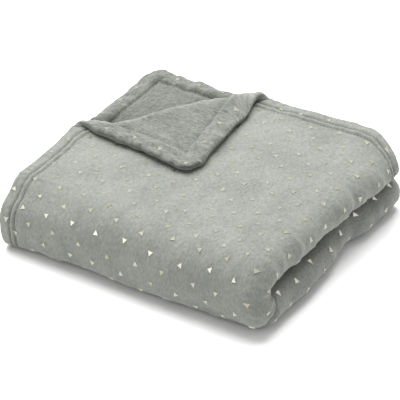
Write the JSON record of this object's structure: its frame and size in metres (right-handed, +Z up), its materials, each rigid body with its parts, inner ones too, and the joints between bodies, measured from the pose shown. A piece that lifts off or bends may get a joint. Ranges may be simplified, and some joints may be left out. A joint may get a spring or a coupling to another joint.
{
  "type": "folded throw blanket",
  "caption": "Plush fleece throw, hemmed all round and printed with small foil triangles, folded into a thick rectangular stack with one top corner turned back.",
  "frame": {"origin": "middle of the base, on the surface that the folded throw lies on", "axes": "+X along the front fold, +Y from the front fold to the back edges, +Z up"},
  "size_m": [0.39, 0.356, 0.1022],
  "materials": {
    "fleece_printed": "plush flannel fleece, sage grey",
    "fleece_plain": "plush flannel fleece, plain reverse",
    "hem": "turned and sewn fleece edge",
    "thread": "matt polyester thread",
    "gold_foil": "bright foil print"
  },
  "bodies": {
    "lower_half": {"lower_outer_pair": "fleece_printed", "lower_second_pair": "fleece_printed", "lower_third_pair": "fleece_printed", "lower_inner_pair": "fleece_printed", "lower_right_fold_outer": "fleece_printed", "lower_right_fold_inner": "fleece_printed", "lower_left_fold": "fleece_plain", "lower_left_hems": "hem", "front_bend_outer": "fleece_printed", "front_bend_second": "fleece_printed", "front_bend_third": "fleece_printed", "front_bend_inner": "fleece_printed", "front_bend_right_fold": "fleece_printed", "front_bend_left_fold": "fleece_plain", "front_bend_hems": "hem"},
    "upper_half": {"top_sheet": "fleece_printed", "second_sheet": "fleece_plain", "upper_second_pair": "fleece_printed", "upper_third_pair": "fleece_printed", "upper_inner_pair": "fleece_printed", "upper_right_fold_outer": "fleece_printed", "upper_right_fold_inner": "fleece_printed", "upper_left_fold": "fleece_plain", "top_left_hem": "hem", "top_back_hem": "hem", "second_left_hem": "hem", "second_back_hem": "hem", "upper_left_hems": "hem", "upper_back_hems": "hem", "hem_threads_left": "thread", "hem_threads_back": "thread", "foil_triangles": "gold_foil", "corner_crease": "fleece_plain"},
    "corner": {"corner_flap": "fleece_plain", "corner_left_hem": "hem", "corner_back_hem": "hem", "corner_threads": "thread"}
  },
  "joints": [
    {"name": "front_fold", "type": "hinge", "parent": "lower_half", "child": "upper_half", "pos_m": [0, -0.1308, 0.0472], "axis": [1, 0, 0], "range_deg": [0, 172], "deforming": ["front_bend_outer", "front_bend_second", "front_bend_third", "front_bend_inner", "front_bend_right_fold", "front_bend_left_fold", "front_bend_hems"]},
    {"name": "corner_turn", "type": "hinge", "parent": "upper_half", "child": "corner", "pos_m": [-0.195, -0.01, 0.0954], "axis": [-0.7071, -0.7071, 0], "range_deg": [0, 172], "deforming": ["corner_crease"]}
  ]
}
